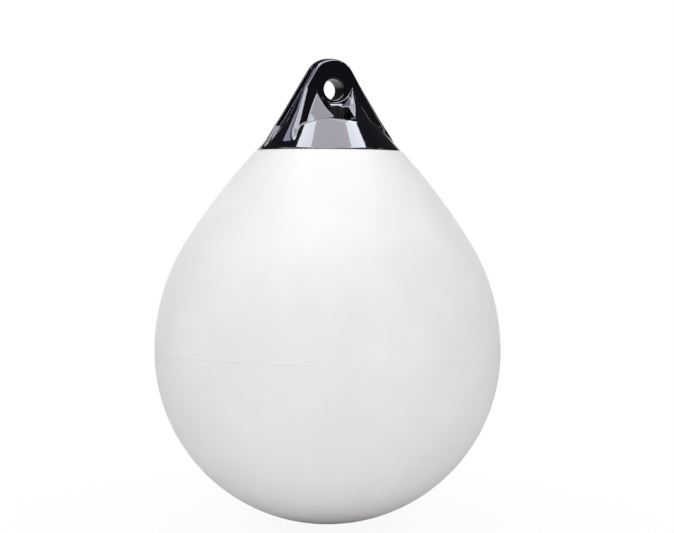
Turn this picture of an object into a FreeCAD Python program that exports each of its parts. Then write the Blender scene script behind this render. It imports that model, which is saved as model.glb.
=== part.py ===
import FreeCAD, Part
import math
import os

import Sketcher
from FreeCAD import Placement, Rotation, Vector

# Inflatable ball fender: a hollow vinyl ball with a moulded rope eye on top.
# Origin at the centre of the eye's bore, bore along Y, front towards -Y,
# +Z up. Millimetres and degrees.

NODES = "parts"
TOUCHING = 1e-6
LEVEL = 0.01
GROWTH = 2
os.makedirs(NODES, exist_ok=True)
doc = FreeCAD.newDocument("ball_fender")

# Driving dimensions

DIMENSIONS = [
    ("ball_radius", 185.0, "outside radius of the inflated ball at its girth"),
    ("ball_wall", 3.6, "thickness of the vinyl skin"),
    ("shoulder_radius", 221.0, "arc of the ball from its girth upwards"),
    ("shoulder_angle", 32.0, "how far that arc turns from upright"),
    ("flank_radius", 646.0, "flatter arc from the shoulder to the eye"),
    ("base_radius", 77.9, "radius of the joint between ball and eye"),
    ("bore_height", 65.0, "bore centre above the joint"),
    ("top_rise", 33.2, "top of the eye above the bore centre"),
    ("eye_half_width", 35.7, "half width of the eye at the bore centre"),
    ("side_angle", 30.2, "the eye's ends from upright"),
    ("flare_angle", 32.6, "the lower part of those ends from upright"),
    ("flare_rise", 35.0, "where they bend outwards, above the joint"),
    ("flare_round", 400.0, "rounding of that bend"),
    ("crown_round", 25.0, "rounding of the eye's top"),
    ("bore_diameter", 22.4, "hole for the rope"),
    ("bore_lip", 1.4, "rounding of the bore's two lips"),
    ("plate_thickness", 24.0, "eye plate at the bore"),
    ("waist_rise", 2.7, "where the plate starts to flare, above the bore"),
    ("waist_angle", 22.5, "flare of the plate from upright"),
    ("waist_round", 25.0, "rounding where that flare starts"),
    ("foot_rise", 17.0, "where the flare opens again, above the joint"),
    ("foot_angle", 50.0, "the plate's foot from upright"),
    ("foot_round", 30.0, "rounding where the foot opens"),
    ("edge_round_top", 3.0, "rounding of the plate's edges at the top"),
    ("edge_round_base", 13.0, "rounding of the same edges at the foot"),
    ("skirt_rise", 35.2, "top of the skirt's arch above the joint"),
    ("arch_radius", 110.0, "arch of the skirt's upper edge, seen from the front"),
    ("gusset_reach", 16.2, "distance of each gusset's face from the bore centre"),
    ("gusset_angle", 28.0, "that face from the front, seen from above"),
    ("gusset_lean_angle", 34.3, "that face from upright"),
    ("scoop_radius", 20.3, "round hollow in front of the bore"),
    ("scoop_drop", 6.7, "centre of that hollow below the bore, at the plate"),
    ("scoop_angle", 15.0, "how steeply the hollow runs down"),
    ("boss_half_width", 10.5, "boss of the valve"),
    ("boss_drop", 15.0, "top of that boss below the bore"),
    ("boss_face", 21.0, "front of that boss from the plate's middle"),
    ("boss_bevel", 5.0, "bevel along the boss's top edge"),
    ("boss_round", 4.0, "rounding of the boss's upper corners"),
    ("pocket_half_width", 11.5, "hollow in front of the boss"),
    ("pocket_depth", 9.0, "that hollow below the skirt's edge"),
    ("pocket_rise", 1.8, "that hollow above the valve's centre line"),
    ("pocket_rim", 5.0, "wall left in front of that hollow"),
    ("groove_top", 21.0, "upper tip of the end groove above the bore"),
    ("groove_wide_rise", 26.2, "widest place of the groove above the joint"),
    ("groove_foot_rise", 7.5, "lower tip of the groove above the joint"),
    ("groove_half_width", 11.5, "half the groove's greatest width"),
    ("groove_depth", 5.0, "depth of the groove"),
    ("collar_thickness", 5.0, "collar of the eye that the skin is fused to"),
    ("collar_length", 20.0, "how far the collar reaches under the skin"),
    ("core_rise", 20.0, "roof of the hollow under the eye, above the joint"),
    ("valve_drop", 25.6, "centre line of the valve below the bore"),
    ("sleeve_diameter", 12.0, "valve sleeve"),
    ("sleeve_length", 15.0, "valve sleeve behind its flange"),
    ("flange_diameter", 16.6, "flange of that sleeve"),
    ("flange_thickness", 2.0, "flange of that sleeve"),
    ("air_passage", 6.0, "drilling from the valve down to the hollow"),
    ("thread_diameter", 8.0, "screw of the valve plug"),
    ("screw_length", 10.0, "screw below the plug's head"),
    ("seal_thickness", 1.2, "sealing washer"),
    ("seal_diameter", 11.4, "sealing washer"),
    ("head_diameter", 12.6, "head of the valve plug"),
    ("head_thickness", 2.4, "head of the valve plug"),
    ("grip_width", 2.4, "grip rib across the head"),
    ("grip_height", 3.0, "grip rib across the head"),
    ("grip_length", 11.3, "grip rib across the head"),
    ("valve_fit", 0.05, "gap round the sleeve and its flange"),
    ("thread_fit", 0.1, "gap round the screw"),
    ("overrun", 2.0, "how far a cutter or its stock runs past the shape"),
]

sheet = doc.addObject("Spreadsheet::Sheet", "Sizes")
sheet.Label = "Sizes"
for row, (alias, number, meaning) in enumerate(DIMENSIONS, start=1):
    sheet.set("A%d" % row, alias)
    sheet.set("B%d" % row, str(number))
    sheet.set("C%d" % row, meaning)
    sheet.setAlias("B%d" % row, alias)
doc.recompute()
size = {alias: float(getattr(sheet, alias)) for alias, _, _ in DIMENSIONS}


def tan(degrees):
    return math.tan(math.radians(degrees))


def cos(degrees):
    return math.cos(math.radians(degrees))


def sin(degrees):
    return math.sin(math.radians(degrees))


# The ball's three arcs, from the bottom up: a half sphere, the shoulder and
# the flank, each tangent to the last

def flank_centre():
    turn = size["shoulder_angle"]
    step = size["shoulder_radius"] - size["flank_radius"]
    r = size["ball_radius"] - size["shoulder_radius"] + step * cos(turn)
    return r, step * sin(turn)


FLANK_R, FLANK_RISE = flank_centre()
JOINT_SLOPE = math.degrees(math.acos((size["base_radius"] - FLANK_R) / size["flank_radius"]))
JOINT_RISE = FLANK_RISE + size["flank_radius"] * sin(JOINT_SLOPE)
BASE_Z = -size["bore_height"]
GIRTH_Z = BASE_Z - JOINT_RISE
FLARE_Z = BASE_Z + size["flare_rise"]
FOOT_Z = BASE_Z + size["foot_rise"]
SKIRT_Z = BASE_Z + size["skirt_rise"]
CORE_Z = BASE_Z + size["core_rise"]
HALF_PLATE = size["plate_thickness"] / 2
SKIN_AND_COLLAR = size["ball_wall"] + size["collar_thickness"]


def on_flank(inset, angle):
    """Point of the flank, moved inwards by inset, at that slope."""
    reach = size["flank_radius"] - inset
    return FLANK_R + reach * cos(angle), GIRTH_Z + FLANK_RISE + reach * sin(angle)


def slope_below_joint(length):
    """Slope of the flank that far below the joint, along the skin."""
    return JOINT_SLOPE - math.degrees(length / size["flank_radius"])


# Helpers for bodies, sketches and outlines

def new_body(name):
    return doc.addObject("PartDesign::Body", name)


def sketch_on(body, role, name, offset=0.0):
    """Sketch on one of the body's own origin planes, moved along its normal."""
    plane = next(item for item in body.Origin.OriginFeatures if item.Role == role)
    sketch = body.newObject("Sketcher::SketchObject", name)
    sketch.AttachmentSupport = (plane, "")
    sketch.MapMode = "FlatFace"
    sketch.AttachmentOffset = Placement(Vector(0, 0, offset), Rotation())
    return sketch


def segment(start, end):
    return Part.LineSegment(Vector(*start, 0), Vector(*end, 0))


def arc(centre, radius, start, end):
    """Arc of a circle from one angle to another, anticlockwise."""
    circle = Part.Circle(Vector(*centre, 0), Vector(0, 0, 1), radius)
    return Part.ArcOfCircle(circle, math.radians(start), math.radians(end))


def rounded(corners):
    """Closed outline as lines, with a tangent arc at each corner (x, y, alias)."""
    outline, names = [], []
    tangents = []
    for index, corner in enumerate(corners):
        here = Vector(corner[0], corner[1], 0)
        before = (Vector(*corners[index - 1][:2], 0) - here).normalize()
        after = (Vector(*corners[(index + 1) % len(corners)][:2], 0) - here).normalize()
        radius = size[corner[2]] if len(corner) > 2 else 0.0
        half = before.getAngle(after) / 2
        run = radius / math.tan(half)
        inward = (before + after).normalize()
        nearest = here + inward * (radius / math.sin(half) - radius)
        tangents.append((here + before * run, nearest, here + after * run, corner[2:]))
    for index, (first, nearest, last, alias) in enumerate(tangents):
        if alias:
            outline.append(Part.ArcOfCircle(first, nearest, last))
            names.append(alias[0])
        start = tangents[(index + 1) % len(tangents)][0]
        outline.append(Part.LineSegment(last, start))
        names.append(None)
    return outline, names


def draw(sketch, outline, radii):
    """Closed outline in a sketch, its ends joined and its radii bound to cells."""
    count = len(outline)
    sketch.addGeometry(outline, False)
    for index in range(count):
        follower = (index + 1) % count
        for end in (1, 2):
            for start in (1, 2):
                gap = sketch.getPoint(index, end) - sketch.getPoint(follower, start)
                if gap.Length < TOUCHING:
                    ends = (index, end, follower, start)
                    sketch.addConstraint(Sketcher.Constraint("Coincident", *ends))
    for index, formula in enumerate(radii):
        if formula:
            bind(sketch, "Radius", (index, outline[index].Radius), formula)


def bind(sketch, kind, values, formula):
    """Dimension of a sketch that follows cells of the sheet."""
    number = sketch.addConstraint(Sketcher.Constraint(kind, *values))
    sketch.setExpression("Constraints[%d]" % number, cells(formula))


def cells(formula):
    """The same formula with each alias pointing at the sheet."""
    words = formula.replace("(", "( ").replace(")", " )").split()
    return " ".join("Sizes." + word if word in size else word for word in words)


def tie(thing, **formulas):
    """Sizes of a feature that follow cells of the sheet."""
    for prop, formula in formulas.items():
        thing.setExpression(prop.replace("_", "."), cells(formula))
    return thing


def revolve(body, sketch, name):
    feature = body.newObject("PartDesign::Revolution", name)
    feature.Profile = sketch
    feature.ReferenceAxis = (sketch, ["V_Axis"])
    feature.Angle = 360
    return feature


def pad(body, sketch, name, formula, both_ways=False):
    feature = body.newObject("PartDesign::Pad", name)
    feature.Profile = sketch
    feature.Midplane = both_ways
    return tie(feature, Length=formula)


def mirror_point(point):
    return (-point[0],) + tuple(point[1:])


def turned(name, outline, radii=None):
    """Body turned about the Z axis from a half outline in (r, z)."""
    body = new_body(name)
    sketch = sketch_on(body, "XZ_Plane", name + "_outline")
    draw(sketch, outline, radii or [None] * len(outline))
    revolve(body, sketch, name + "_turned")
    return body


def joined(kind, name, **links):
    """Boolean of other shapes: Part::Cut, Part::MultiFuse or Part::MultiCommon."""
    feature = doc.addObject(kind, name)
    for prop, value in links.items():
        setattr(feature, prop, value)
    return feature


def rod(name, diameter, length, base, direction):
    """Cylinder from a point along a direction, its sizes bound to the sheet."""
    cylinder = doc.addObject("Part::Cylinder", name)
    tie(cylinder, Radius=diameter + " / 2", Height=length)
    cylinder.Placement = Placement(Vector(*base), Rotation(Vector(0, 0, 1), Vector(*direction)))
    return cylinder


# The ball: a skin of even thickness, open where the eye is fused in

def skin_arcs(inset):
    """Lower, shoulder and flank arcs of the ball, moved inwards by inset."""
    turn = size["shoulder_angle"]
    shoulder = (size["ball_radius"] - size["shoulder_radius"], GIRTH_Z)
    return [
        arc((0, GIRTH_Z), size["ball_radius"] - inset, -90, 0),
        arc(shoulder, size["shoulder_radius"] - inset, 0, turn),
        arc((FLANK_R, GIRTH_Z + FLANK_RISE), size["flank_radius"] - inset, turn, JOINT_SLOPE),
    ]


def make_ball():
    wall = size["ball_wall"]
    bottom = GIRTH_Z - size["ball_radius"]
    outline = skin_arcs(0)
    outline.append(segment(on_flank(0, JOINT_SLOPE), on_flank(wall, JOINT_SLOPE)))
    outline += reversed(skin_arcs(wall))
    outline.append(segment((0, bottom + wall), (0, bottom)))
    arcs = ["ball_radius", "shoulder_radius", "flank_radius"]
    radii = arcs + [None] + [name + " - ball_wall" for name in reversed(arcs)] + [None]
    return turned("float_ball", outline, radii)


# The rope eye: a tall rounded crown of revolution, thinned to a flared plate,
# with two gussets and a hollow on each face, standing on a cone

def crown_outline(inset):
    """Half outline of the crown in (r, z), moved inwards by inset."""
    slope = size["side_angle"]
    flare = size["flare_angle"]
    top = size["top_rise"] - inset
    side = size["eye_half_width"] - inset / cos(slope)
    shift = inset * (1 / cos(slope) - 1 / cos(flare)) / (tan(slope) - tan(flare))
    bend = FLARE_Z - shift
    waist = side - bend * tan(slope)
    return rounded([
        (0, top),
        (side - top * tan(slope), top, "crown_round"),
        (waist, bend, "flare_round"),
        (waist + (bend - BASE_Z) * tan(flare), BASE_Z),
        (0, BASE_Z),
    ])


def make_bell():
    """Plate that flares towards its foot, as long as the eye is wide."""
    foot = HALF_PLATE + (size["waist_rise"] - FOOT_Z) * tan(size["waist_angle"])
    toe = foot + size["foot_rise"] * tan(size["foot_angle"])
    half = [
        (HALF_PLATE, size["top_rise"] + size["overrun"]),
        (HALF_PLATE, size["waist_rise"], "waist_round"),
        (foot, FOOT_Z, "foot_round"),
        (toe, BASE_Z),
    ]
    body = new_body("plate")
    sketch = sketch_on(body, "YZ_Plane", "plate_outline")
    draw(sketch, *rounded(half + [mirror_point(point) for point in reversed(half)]))
    pad(body, sketch, "plate_length", "(base_radius + overrun) * 2", both_ways=True)
    return body


def gusset_section(height):
    """Bow-shaped triangle in (x, y) of the front gussets at a height."""
    rise = size["gusset_lean_angle"]
    reach = (size["gusset_reach"] - height * sin(rise)) / cos(rise)
    half = reach / sin(size["gusset_angle"])
    nose = reach / cos(size["gusset_angle"])
    corners = [(-half, 0), (0, -nose), (half, 0)]
    return [segment(corners[index - 1], corners[index]) for index in range(3)]


def lofted(name, role, sections):
    """Body lofted through outlines, each in its own parallel plane."""
    body = new_body(name)
    sketches = []
    for index, (offset, outline, radii) in enumerate(sections):
        sketch = sketch_on(body, role, "%s_%d" % (name, index), offset)
        if len(outline) > 1:
            draw(sketch, outline, radii)
        else:
            sketch.addGeometry(outline, False)
            bind(sketch, "Radius", (0, outline[0].Radius), radii[0])
        sketches.append(sketch)
    loft = body.newObject("PartDesign::AdditiveLoft", name + "_loft")
    loft.Profile = sketches[0]
    loft.Sections = sketches[1:]
    loft.Ruled = True
    return body


def make_gussets():
    """Front pair of gussets before the hollow parts them."""
    sections = [(height, gusset_section(height), [None] * 3) for height in (BASE_Z, HALF_PLATE)]
    return lofted("gussets", "XY_Plane", sections)


def make_scoop():
    """Round hollow that runs down and outwards from the bore, in front of the plate."""
    sections = []
    for reach in (HALF_PLATE, size["base_radius"]):
        centre = -size["scoop_drop"] - (reach - HALF_PLATE) * tan(size["scoop_angle"])
        circle = Part.Circle(Vector(0, centre, 0), Vector(0, 0, 1), size["scoop_radius"])
        sections.append((reach, [circle], ["scoop_radius"]))
    return lofted("scoop", "XZ_Plane", sections)


def make_skirt():
    """Cone of the eye's base, its upper edge an arch, with the collar below."""
    top = SKIRT_Z + size["overrun"]
    end = slope_below_joint(size["collar_length"])
    wall = size["ball_wall"]
    joint = (size["base_radius"], BASE_Z)
    rim = on_flank(wall, JOINT_SLOPE)
    tip = on_flank(wall, end)
    foot = on_flank(SKIN_AND_COLLAR, end)
    edge = (joint[0] - (top - BASE_Z) * tan(JOINT_SLOPE), top)
    collar = arc((FLANK_R, GIRTH_Z + FLANK_RISE), size["flank_radius"] - wall, end, JOINT_SLOPE)
    outline = [
        segment((0, top), edge),
        segment(edge, joint),
        segment(joint, rim),
        collar,
        segment(tip, foot),
        segment(foot, (0, foot[1])),
        segment((0, foot[1]), (0, top)),
    ]
    radii = [None, None, None, "flank_radius - ball_wall", None, None, None]
    body = turned("skirt", outline, radii)
    arch = size["arch_radius"]
    reach = size["base_radius"]
    middle = SKIRT_Z - arch
    spring = middle + math.sqrt(arch ** 2 - reach ** 2)
    ceiling = size["top_rise"]
    half = math.degrees(math.asin(reach / arch))
    cut = [
        arc((0, middle), arch, 90 - half, 90 + half),
        segment((-reach, spring), (-reach, ceiling)),
        segment((-reach, ceiling), (reach, ceiling)),
        segment((reach, ceiling), (reach, spring)),
    ]
    sketch = sketch_on(body, "XZ_Plane", "arch")
    draw(sketch, cut, ["arch_radius", None, None, None])
    pocket = body.newObject("PartDesign::Pocket", "arched_edge")
    pocket.Profile = sketch
    pocket.Midplane = True
    tie(pocket, Length="(base_radius + overrun) * 2")
    return body


def make_core():
    """Hollow under the eye, one wall inside the cone and the collar."""
    end = slope_below_joint(size["collar_length"] + size["overrun"])
    shoulder = on_flank(SKIN_AND_COLLAR, JOINT_SLOPE)
    foot = on_flank(SKIN_AND_COLLAR, end)
    brow = (shoulder[0] - (CORE_Z - shoulder[1]) * tan(JOINT_SLOPE), CORE_Z)
    inner = arc(
        (FLANK_R, GIRTH_Z + FLANK_RISE),
        size["flank_radius"] - SKIN_AND_COLLAR,
        end,
        JOINT_SLOPE,
    )
    outline = [
        segment((0, CORE_Z), brow),
        segment(brow, shoulder),
        inner,
        segment(foot, (0, foot[1])),
        segment((0, foot[1]), (0, CORE_Z)),
    ]
    radii = [None, None, "flank_radius - ball_wall - collar_thickness", None, None]
    return turned("core", outline, radii)


def make_groove():
    """Kite-shaped groove in both ends, as deep as the crown less its inset copy."""
    wide = size["groove_half_width"]
    widest = BASE_Z + size["groove_wide_rise"]
    kite = [
        (0, size["groove_top"]),
        (-wide, widest),
        (0, BASE_Z + size["groove_foot_rise"]),
        (wide, widest),
    ]
    body = new_body("groove_kite")
    sketch = sketch_on(body, "YZ_Plane", "kite")
    draw(sketch, *rounded(kite))
    pad(body, sketch, "kite_length", "(base_radius + overrun) * 2", both_ways=True)
    inner = turned("groove_floor", *crown_outline(size["groove_depth"]))
    return joined("Part::Cut", "grooves", Base=body, Tool=inner)


def make_boss():
    """Valve boss below the bore, its top edge bevelled."""
    bevel = size["boss_bevel"]
    face = size["boss_face"]
    top = -size["boss_drop"]
    side = [(0, top), (bevel - face, top), (-face, top - bevel), (-face, CORE_Z), (0, CORE_Z)]
    body = new_body("boss")
    sketch = sketch_on(body, "YZ_Plane", "boss_side")
    draw(sketch, *rounded(side))
    pad(body, sketch, "boss_width", "boss_half_width * 2", both_ways=True)
    wide = size["boss_half_width"]
    corner = "boss_round"
    front = [(-wide, top, corner), (-wide, CORE_Z), (wide, CORE_Z), (wide, top, corner)]
    other = new_body("boss_front")
    sketch = sketch_on(other, "XZ_Plane", "boss_front_outline")
    draw(sketch, *rounded(front))
    pad(other, sketch, "boss_reach", "boss_face + overrun")
    return joined("Part::MultiCommon", "valve_boss", Shapes=[body, other])


def make_pocket():
    """Hollow in front of the boss, down behind the skirt's edge."""
    floor = SKIRT_Z - size["pocket_depth"]
    wide = size["pocket_half_width"]
    near = -size["boss_face"]
    edge = size["base_radius"] - size["skirt_rise"] * tan(JOINT_SLOPE)
    far = size["pocket_rim"] - edge
    body = new_body("pocket")
    sketch = sketch_on(body, "XY_Plane", "pocket_outline", floor)
    corners = [(-wide, near), (-wide, far, "boss_round"), (wide, far, "boss_round"), (wide, near)]
    draw(sketch, *rounded(corners))
    height = "bore_height - skirt_rise - valve_drop + pocket_depth + pocket_rise"
    pad(body, sketch, "pocket_height", height)
    return body


def make_bore():
    """Cutter of the bore, whose ends open into the rounded lips."""
    radius = size["bore_diameter"] / 2
    lip = size["bore_lip"]
    mouth = radius + lip
    end = HALF_PLATE + size["overrun"]
    outline = [
        segment((0, -end), (mouth, -end)),
        segment((mouth, -end), (mouth, -HALF_PLATE)),
        arc((mouth, lip - HALF_PLATE), lip, 180, 270),
        segment((radius, lip - HALF_PLATE), (radius, HALF_PLATE - lip)),
        arc((mouth, HALF_PLATE - lip), lip, 90, 180),
        segment((mouth, HALF_PLATE), (mouth, end)),
        segment((mouth, end), (0, end)),
        segment((0, end), (0, -end)),
    ]
    body = new_body("bore")
    sketch = sketch_on(body, "XY_Plane", "bore_outline")
    draw(sketch, outline, [None, None, "bore_lip", None, "bore_lip", None, None, None])
    revolve(body, sketch, "bore_turned")
    return body


def mirrored(source, name):
    """The same shape on the back of the eye."""
    feature = doc.addObject("Part::Mirroring", name)
    feature.Source = source
    feature.Base = Vector(0, 0, 0)
    feature.Normal = Vector(0, 1, 0)
    return feature


def edge_rounds(shape):
    """Edges between the plate's faces and the crown, each with its two radii."""
    picked = []
    for index, edge in enumerate(shape.Edges, start=1):
        box = edge.BoundBox
        level = box.ZLength < LEVEL
        inside = min(abs(box.YMin), abs(box.YMax)) < HALF_PLATE / 2
        if level or inside:
            continue
        radii = []
        for parameter in (edge.FirstParameter, edge.LastParameter):
            height = edge.valueAt(parameter).z
            share = (size["top_rise"] - height) / (size["top_rise"] - BASE_Z)
            growth = size["edge_round_base"] - size["edge_round_top"]
            radii.append(size["edge_round_top"] + growth * share ** GROWTH)
        picked.append((index, *radii))
    return picked


def make_eye():
    crown = turned("crown", *crown_outline(0))
    blade = joined("Part::MultiCommon", "blade", Shapes=[crown, make_bell()])
    doc.recompute()
    rounded_blade = joined("Part::Fillet", "rounded_blade", Base=blade)
    rounded_blade.Edges = edge_rounds(blade.Shape)
    front = make_gussets()
    both = joined("Part::MultiFuse", "all_gussets", Shapes=[front, mirrored(front, "back_gussets")])
    inner_crown = turned("inner_crown", *crown_outline(size["edge_round_top"]))
    webs = joined("Part::MultiCommon", "webs", Shapes=[inner_crown, both])
    scoop = make_scoop()
    hollows = [scoop, mirrored(scoop, "back_scoop")]
    upper = joined(
        "Part::Cut",
        "upper_eye",
        Base=joined("Part::MultiFuse", "plate_and_webs", Shapes=[rounded_blade, webs]),
        Tool=joined("Part::MultiFuse", "scoops", Shapes=hollows),
    )
    boss = make_boss()
    solid = joined(
        "Part::MultiFuse",
        "solid_eye",
        Shapes=[upper, make_skirt(), boss, mirrored(boss, "back_boss")],
    )
    pocket = make_pocket()
    overrun = size["overrun"]
    face = -size["boss_face"]
    drop = -size["valve_drop"]
    seat = rod(
        "valve_seat",
        "flange_diameter",
        "flange_thickness + overrun",
        (0, face - overrun, drop),
        (0, 1, 0),
    )
    chamber = rod(
        "valve_chamber",
        "sleeve_diameter",
        "sleeve_length + flange_thickness + air_passage",
        (0, face, drop),
        (0, 1, 0),
    )
    air_y = face + size["flange_thickness"] + size["sleeve_length"] + size["air_passage"] / 2
    passage = rod(
        "air_drilling",
        "air_passage",
        "bore_height - core_rise - valve_drop + overrun",
        (0, air_y, CORE_Z - overrun),
        (0, 0, 1),
    )
    tools = [
        make_core(),
        make_groove(),
        pocket,
        mirrored(pocket, "back_pocket"),
        make_bore(),
        seat,
        chamber,
        passage,
    ]
    cutters = joined("Part::MultiFuse", "cutters", Shapes=tools)
    return joined("Part::Cut", "rope_eye", Base=solid, Tool=cutters)


# The valve: a sleeve in the boss, a screwed plug and its sealing washer

def turned_on_bore(name, corners):
    """Body turned about the valve's own axis from corners (r, depth behind the boss's face)."""
    body = new_body(name)
    sketch = sketch_on(body, "XY_Plane", name + "_outline")
    outline = [(r, depth - size["boss_face"]) for r, depth in corners]
    draw(sketch, *rounded(outline))
    revolve(body, sketch, name + "_turned")
    body.Placement = Placement(Vector(0, 0, -size["valve_drop"]), Rotation())
    return body


def make_sleeve():
    fit = size["valve_fit"]
    flange = size["flange_diameter"] / 2 - fit
    sleeve = size["sleeve_diameter"] / 2 - fit
    bore = size["thread_diameter"] / 2 + size["thread_fit"]
    rear = size["flange_thickness"] + size["sleeve_length"]
    return turned_on_bore("valve_sleeve", [
        (bore, 0),
        (flange, 0),
        (flange, size["flange_thickness"] - fit),
        (sleeve, size["flange_thickness"] - fit),
        (sleeve, rear),
        (bore, rear),
    ])


def make_seal():
    bore = size["thread_diameter"] / 2 + size["thread_fit"]
    outer = size["seal_diameter"] / 2
    front = -size["seal_thickness"]
    return turned_on_bore("valve_seal", [(bore, front), (outer, front), (outer, 0), (bore, 0)])


def make_plug():
    screw = size["thread_diameter"] / 2
    head = size["head_diameter"] / 2
    back = -size["seal_thickness"]
    front = back - size["head_thickness"]
    tip = back + size["screw_length"]
    turned_part = turned_on_bore("plug_turned_part", [
        (0, front),
        (head, front),
        (head, back),
        (screw, back),
        (screw, tip),
        (0, tip),
    ])
    rib = doc.addObject("Part::Box", "grip_rib")
    tie(rib, Length="grip_width", Width="grip_height", Height="grip_length")
    rib.Placement = Placement(
        Vector(
            -size["grip_width"] / 2,
            front - size["boss_face"] - size["grip_height"],
            -size["valve_drop"] - size["grip_length"] / 2,
        ),
        Rotation(),
    )
    return joined("Part::MultiFuse", "valve_plug", Shapes=[turned_part, rib])


pieces = [make_ball(), make_eye(), make_sleeve(), make_seal(), make_plug()]
doc.recompute()

for thing in doc.Objects:
    if "Invalid" in thing.State or "Error" in thing.State:
        raise RuntimeError("not made: " + thing.Label)
for piece in pieces:
    piece.Label = piece.Name
    shape = piece.Shape
    if shape.isNull() or not shape.isValid() or len(shape.Solids) != 1:
        raise RuntimeError("bad shape: %s, %d solids" % (piece.Label, len(shape.Solids)))
for piece in pieces:
    piece.Shape.exportStep(os.path.join(NODES, piece.Label + ".step"))
    box = piece.Shape.BoundBox
    volume = piece.Shape.Volume / 1000
    print("%-13s %7.1f cm3  z %.1f..%.1f" % (piece.Label, volume, box.ZMin, box.ZMax))
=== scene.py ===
# %% [markdown]
# # Ball fender, dressed
# A ball fender is a white vinyl balloon with a black moulded eye for its line.
# The imported model gives every piece its place, so the script starts by loading
# that frame. All lengths here are metres, +Z is up, the origin is the centre of
# the eye's hole and the valve side faces -Y.

# %% Load the frame
import math
import bpy
import numpy as np
from mathutils import Matrix, Vector


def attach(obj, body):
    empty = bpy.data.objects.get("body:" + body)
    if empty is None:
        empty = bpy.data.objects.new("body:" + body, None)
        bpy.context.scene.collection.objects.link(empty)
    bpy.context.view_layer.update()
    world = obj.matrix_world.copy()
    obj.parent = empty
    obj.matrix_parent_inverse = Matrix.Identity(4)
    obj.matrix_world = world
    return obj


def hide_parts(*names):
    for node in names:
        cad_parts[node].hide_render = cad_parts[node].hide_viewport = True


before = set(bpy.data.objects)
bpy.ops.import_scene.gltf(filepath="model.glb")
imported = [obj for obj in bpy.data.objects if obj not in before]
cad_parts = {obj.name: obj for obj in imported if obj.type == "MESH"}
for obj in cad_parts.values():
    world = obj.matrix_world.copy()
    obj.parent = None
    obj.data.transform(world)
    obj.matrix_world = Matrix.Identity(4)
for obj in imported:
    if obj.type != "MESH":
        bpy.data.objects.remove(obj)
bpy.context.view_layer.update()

MM = 0.001

# %% [markdown]
# ## The camera
# The picture was taken from a little above the middle of the ball, turned 24
# degrees to the left of the valve side, with a long lens that looks slightly
# down. Lens, distance and tilt come from fitting the outline of a body of
# revolution to the photograph's, and a small roll follows the mould line.

# %% Camera
IMAGE_WIDTH = 674
FOCAL_PIXELS = 1561.5
SENSOR = 36.0
VIEW_TURN = math.radians(-24.0)
VIEW_TILT = math.radians(2.518)
VIEW_ROLL = math.radians(0.4)
AXIS_PIXELS_LEFT_OF_MIDDLE = 8.8
VIEW_SWING = math.atan(AXIS_PIXELS_LEFT_OF_MIDDLE / FOCAL_PIXELS)
AXIS_DISTANCE = 1.67385
CAMERA_HEIGHT = -0.1149


def place_camera():
    """Camera beside the axis, swung, tilted and rolled from looking straight at it."""
    back = Vector((math.sin(VIEW_TURN), -math.cos(VIEW_TURN), 0))
    side = Vector((math.cos(VIEW_TURN), math.sin(VIEW_TURN), 0))
    level = side * math.sin(VIEW_SWING) - back * math.cos(VIEW_SWING)
    ahead = level * math.cos(VIEW_TILT) - Vector((0, 0, math.sin(VIEW_TILT)))
    right = ahead.cross(Vector((0, 0, 1))).normalized()
    up = right.cross(ahead)
    turned_right = right * math.cos(VIEW_ROLL) + up * math.sin(VIEW_ROLL)
    turned_up = up * math.cos(VIEW_ROLL) - right * math.sin(VIEW_ROLL)
    spot = back * AXIS_DISTANCE + Vector((0, 0, CAMERA_HEIGHT))
    axes = Matrix((turned_right, turned_up, -ahead)).transposed().to_4x4()
    data = bpy.data.cameras.new("camera")
    data.sensor_width = SENSOR
    data.lens = FOCAL_PIXELS / IMAGE_WIDTH * SENSOR
    data.clip_end = 50.0
    camera = bpy.data.objects.new("camera", data)
    camera.matrix_world = Matrix.Translation(spot) @ axes
    bpy.context.scene.collection.objects.link(camera)
    bpy.context.scene.camera = camera
    return side, back, data.lens


camera_side, camera_back, lens = place_camera()
bpy.context.scene.view_settings.view_transform = "Standard"
print("camera: lens %.1f mm, %.2f m from the axis" % (lens, AXIS_DISTANCE))

# %% [markdown]
# ## Colours and nodes
# Colours are written as the sRGB hex values that a picture editor shows. The
# renderer works with linear light, so one function converts them. One more
# adds a node with its settings and links, which keeps each material short.

# %% Colour and node helpers


def linear(hex_colour):
    """sRGB hex to linear RGBA: divide by 12.92 when dark, else ((c + 0.055) / 1.055) to 2.4."""
    parts = [int(hex_colour[i:i + 2], 16) / 255 for i in (1, 3, 5)]
    lit = [c / 12.92 if c <= 0.04045 else ((c + 0.055) / 1.055) ** 2.4 for c in parts]
    return (*lit, 1.0)


def add(tree, kind, links=None, sockets=None, **settings):
    """Adds a node, sets its properties and sockets, and links (node, output) to inputs."""
    node = tree.nodes.new(kind)
    for name, value in settings.items():
        setattr(node, name, value)
    for name, value in (sockets or {}).items():
        node.inputs[name].default_value = value
    for name, (source, output) in (links or {}).items():
        tree.links.new(source.outputs[output], node.inputs[name])
    return node


def new_material(name):
    """Empty node material and its tree."""
    material = bpy.data.materials.new(name)
    material.use_nodes = True
    material.node_tree.nodes.clear()
    return material, material.node_tree


print("mid grey #808080 is %.3f in linear light" % linear("#808080")[0])

# %% [markdown]
# ## Vinyl for the ball
# The skin is plasticised PVC, rotationally moulded and then blown tight. It is
# opaque white with a soft gloss, smooth to the touch, with a very shallow
# unevenness, about 17 mm across, that only shows in its highlights. Base
# roughness is that of matt moulded PVC and a thin coat stands for the tight,
# shinier skin. Vinyl's index of refraction is 1.53; the level of its mirror part
# is turned down, because big soft lamps leave hardly any highlight on it.
# Handling leaves faint grey clouds, about 70 mm across.

# %% Ball material


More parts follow.
